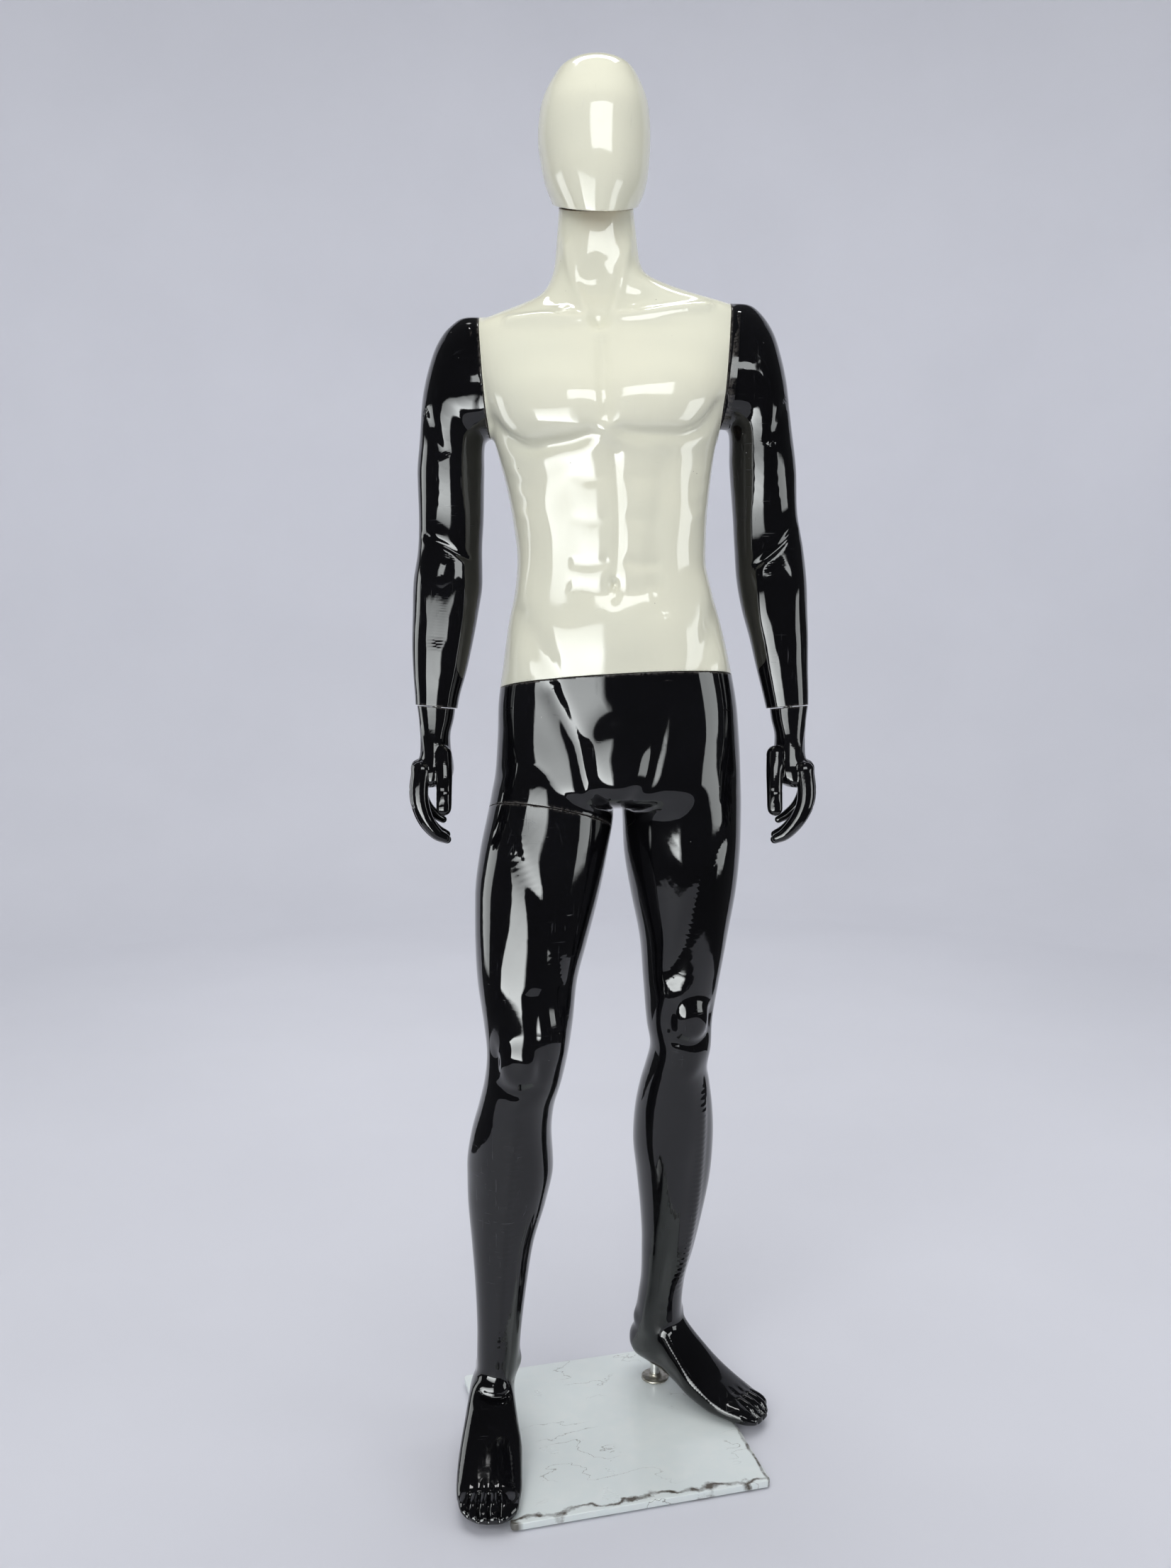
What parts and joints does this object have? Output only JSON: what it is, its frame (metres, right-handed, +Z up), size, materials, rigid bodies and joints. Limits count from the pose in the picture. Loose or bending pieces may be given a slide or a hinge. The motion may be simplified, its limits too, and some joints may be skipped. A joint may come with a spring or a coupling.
{
  "type": "full body display mannequin",
  "caption": "Standing full-body display figure with an egg-shaped head, separate arms, hands and leg, on a square glass base with a foot rod.",
  "frame": {"origin": "on the floor under the middle of the square glass base", "axes": "+Z up; the figure faces -Y; +X is towards the figure's left; the glass is turned 14.8 degrees about Z"},
  "size_m": [0.5412, 0.4406, 1.86],
  "materials": {
    "ivory_gloss": "glossy ivory-white lacquer on moulded glass-fibre, with fine scuffs",
    "black_gloss": "piano-black gloss lacquer on moulded glass-fibre, with fine scratches",
    "inner_board": "plain board set into the shell ends",
    "fitting_steel": "zinc-plated and brushed",
    "base_glass": "tempered glass with a worn frosted film and a polished edge",
    "clear_rubber": "clear soft pad"
  },
  "bodies": {
    "base": {"glass_base": "base_glass", "base_pad_1": "clear_rubber", "base_pad_2": "clear_rubber", "base_pad_3": "clear_rubber", "base_pad_4": "clear_rubber", "flange_gasket": "clear_rubber", "base_flange": "fitting_steel", "base_rod": "fitting_steel", "base_washer": "fitting_steel", "base_bolt": "fitting_steel"},
    "lower_body": {"pelvis_leg_shell": "black_gloss", "right_leg_shell": "black_gloss", "foot_socket_tube": "fitting_steel", "waist_socket_board": "inner_board", "waist_socket": "fitting_steel", "waist_socket_screw_1": "fitting_steel", "waist_socket_screw_2": "fitting_steel", "waist_socket_screw_3": "fitting_steel", "thigh_socket_board": "inner_board", "thigh_socket": "fitting_steel", "thigh_socket_screw_1": "fitting_steel", "thigh_socket_screw_2": "fitting_steel", "thigh_stud_board": "inner_board", "thigh_stud": "fitting_steel"},
    "upper_body": {"torso_shell": "ivory_gloss", "neck_board": "inner_board", "neck_peg": "fitting_steel", "waist_stud_board": "inner_board", "waist_stud": "fitting_steel", "right_shoulder_socket_board": "inner_board", "right_shoulder_socket": "fitting_steel", "right_shoulder_socket_screw_1": "fitting_steel", "right_shoulder_socket_screw_2": "fitting_steel", "left_shoulder_socket_board": "inner_board", "left_shoulder_socket": "fitting_steel", "left_shoulder_socket_screw_1": "fitting_steel", "left_shoulder_socket_screw_2": "fitting_steel"},
    "head": {"head_shell": "ivory_gloss", "head_base_board": "inner_board"},
    "right_arm": {"right_arm_shell": "black_gloss", "right_wrist_plug": "inner_board", "right_shoulder_stud_board": "inner_board", "right_shoulder_stud": "fitting_steel"},
    "left_arm": {"left_arm_shell": "black_gloss", "left_wrist_plug": "inner_board", "left_shoulder_stud_board": "inner_board", "left_shoulder_stud": "fitting_steel"},
    "right_hand": {"right_hand": "black_gloss", "right_wrist_peg": "fitting_steel"},
    "left_hand": {"left_hand": "black_gloss", "left_wrist_peg": "fitting_steel"}
  },
  "joints": [
    {"name": "figure_lift", "type": "slide", "parent": "base", "child": "lower_body", "axis": [0, 0, 1], "range_m": [0, 0.08]},
    {"name": "waist_turn", "type": "hinge", "parent": "lower_body", "child": "upper_body", "pos_m": [0.0095, 0.025, 1.075], "axis": [-0.0571, 0.1673, 0.9842], "range_deg": [0, 45]},
    {"name": "head_turn", "type": "hinge", "parent": "upper_body", "child": "head", "pos_m": [-0.0185, 0.024, 1.687], "axis": [0, -0.3134, 0.9496], "continuous": true},
    {"name": "right_shoulder_turn", "type": "hinge", "parent": "upper_body", "child": "right_arm", "pos_m": [-0.1635, 0.03, 1.475], "axis": [-0.9962, 0, -0.0872], "range_deg": [-30, 90]},
    {"name": "left_shoulder_turn", "type": "hinge", "parent": "upper_body", "child": "left_arm", "pos_m": [0.148, 0.03, 1.49], "axis": [-0.9962, 0, 0.0872], "range_deg": [-30, 90]},
    {"name": "right_wrist_turn", "type": "hinge", "parent": "right_arm", "child": "right_hand", "pos_m": [-0.2305, 0, 1.045], "axis": [-0.0872, -0.0991, -0.9912], "range_deg": [-90, 90]},
    {"name": "left_wrist_turn", "type": "hinge", "parent": "left_arm", "child": "left_hand", "pos_m": [0.2373, 0, 1.045], "axis": [0.0872, -0.0991, -0.9912], "range_deg": [-90, 90]}
  ]
}
